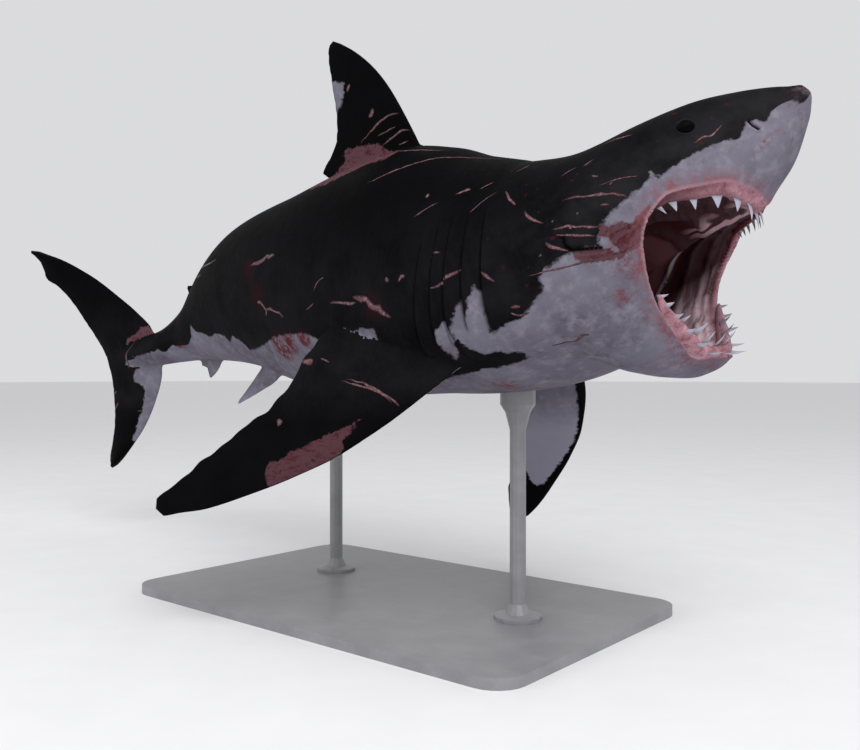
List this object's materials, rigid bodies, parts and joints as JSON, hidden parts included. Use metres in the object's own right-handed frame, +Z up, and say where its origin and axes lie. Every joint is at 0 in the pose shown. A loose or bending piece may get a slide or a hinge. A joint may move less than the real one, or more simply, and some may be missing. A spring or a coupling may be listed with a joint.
{
  "type": "great white shark museum model on a display stand",
  "caption": "Life-size great white shark, mouth agape and body bent as it swims, held over a flat base by short rods.",
  "frame": {"origin": "middle of the bounding box on the floor, under the stand's base", "axes": "+X the way the shark swims, +Y its left, +Z up"},
  "size_m": [4.8058, 1.9344, 2.4689],
  "materials": {
    "dark_skin": "satin wet skin, near-black charcoal above",
    "pale_skin": "satin wet skin, lavender grey below",
    "gum_and_teeth": "wet pink gum and pale teeth",
    "eye": "glossy black",
    "stand_paint": "satin grey paint"
  },
  "bodies": {
    "root": {"anal_fin": "dark_skin", "caudal_fin": "dark_skin", "dorsal_fin": "dark_skin", "eye_left": "eye", "eye_right": "eye", "gills": "dark_skin", "head": "dark_skin", "lower_jaw": "pale_skin", "lower_teeth": "gum_and_teeth", "pectoral_fin_left": "dark_skin", "pectoral_fin_right": "dark_skin", "pelvic_fin_left": "dark_skin", "pelvic_fin_right": "dark_skin", "second_dorsal_fin": "dark_skin", "stand_base": "stand_paint", "stand_rod_front": "stand_paint", "stand_rod_rear": "stand_paint", "tail_stalk": "dark_skin", "tongue": "gum_and_teeth", "trunk_front": "dark_skin", "trunk_rear": "dark_skin", "upper_teeth": "gum_and_teeth"}
  },
  "joints": []
}
